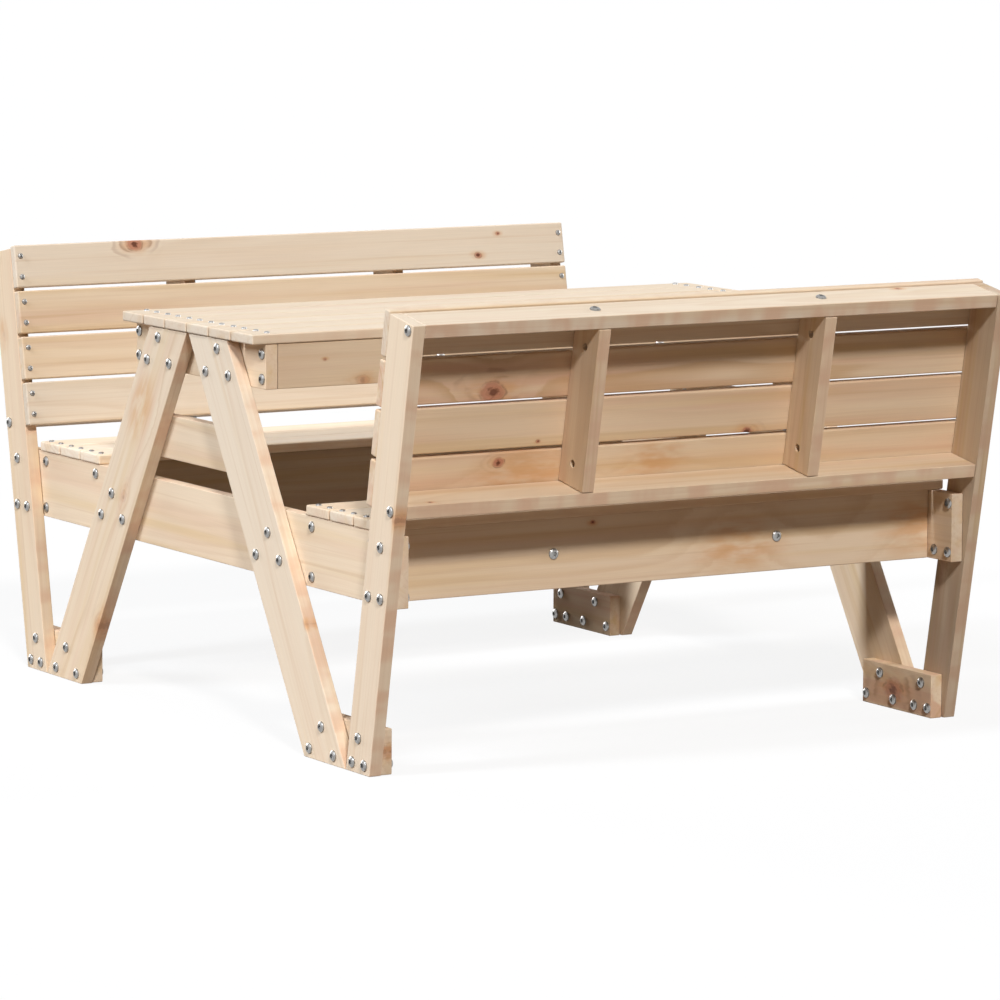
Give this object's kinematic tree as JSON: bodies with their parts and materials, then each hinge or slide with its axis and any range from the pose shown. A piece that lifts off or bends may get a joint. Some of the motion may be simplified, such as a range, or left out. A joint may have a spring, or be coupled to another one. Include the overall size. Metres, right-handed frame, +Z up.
{
  "type": "kids picnic table",
  "caption": "Child-size picnic table with facing benches joined by splayed A-legs: slatted top, slatted seats and leaning slatted backrests, built of bolted softwood boards.",
  "frame": {"origin": "on the floor, under the middle of the table", "axes": "+X along the benches, +Y across them from the front bench to the back bench, +Z up"},
  "size_m": [0.896, 1.17, 0.5846],
  "materials": {
    "pine": "planed, untreated",
    "zinc_steel": "bright zinc plating"
  },
  "bodies": {
    "root": {"a_leg_left_back": "pine", "a_leg_left_front": "pine", "a_leg_right_back": "pine", "a_leg_right_front": "pine", "back_bottom_rail_back": "pine", "back_bottom_rail_front": "pine", "back_leg_left_back": "pine", "back_leg_left_front": "pine", "back_leg_right_back": "pine", "back_leg_right_front": "pine", "back_slat_back_1": "pine", "back_slat_back_2": "pine", "back_slat_back_3": "pine", "back_slat_back_4": "pine", "back_slat_front_1": "pine", "back_slat_front_2": "pine", "back_slat_front_3": "pine", "back_slat_front_4": "pine", "back_stud_back_1": "pine", "back_stud_back_2": "pine", "back_stud_front_1": "pine", "back_stud_front_2": "pine", "back_top_rail_back": "pine", "back_top_rail_front": "pine", "barrel_nuts": "zinc_steel", "board_screws": "zinc_steel", "cap_nuts": "zinc_steel", "foot_block_left_back": "pine", "foot_block_left_front": "pine", "foot_block_right_back": "pine", "foot_block_right_front": "pine", "frame_bolts": "zinc_steel", "leg_bolts": "zinc_steel", "leg_brace_left": "pine", "leg_brace_right": "pine", "seat_beam_left": "pine", "seat_beam_right": "pine", "seat_board_back_1": "pine", "seat_board_back_2": "pine", "seat_board_back_3": "pine", "seat_board_front_1": "pine", "seat_board_front_2": "pine", "seat_board_front_3": "pine", "seat_crosspieces_back": "pine", "seat_crosspieces_front": "pine", "seat_rail_back_inner": "pine", "seat_rail_back_outer": "pine", "seat_rail_front_inner": "pine", "seat_rail_front_outer": "pine", "table_apron_back": "pine", "table_apron_front": "pine", "table_board_1": "pine", "table_board_2": "pine", "table_board_3": "pine", "table_board_4": "pine", "table_board_5": "pine", "table_board_6": "pine", "table_cleat_left": "pine", "table_cleat_right": "pine", "table_crosspieces": "pine"}
  },
  "joints": []
}
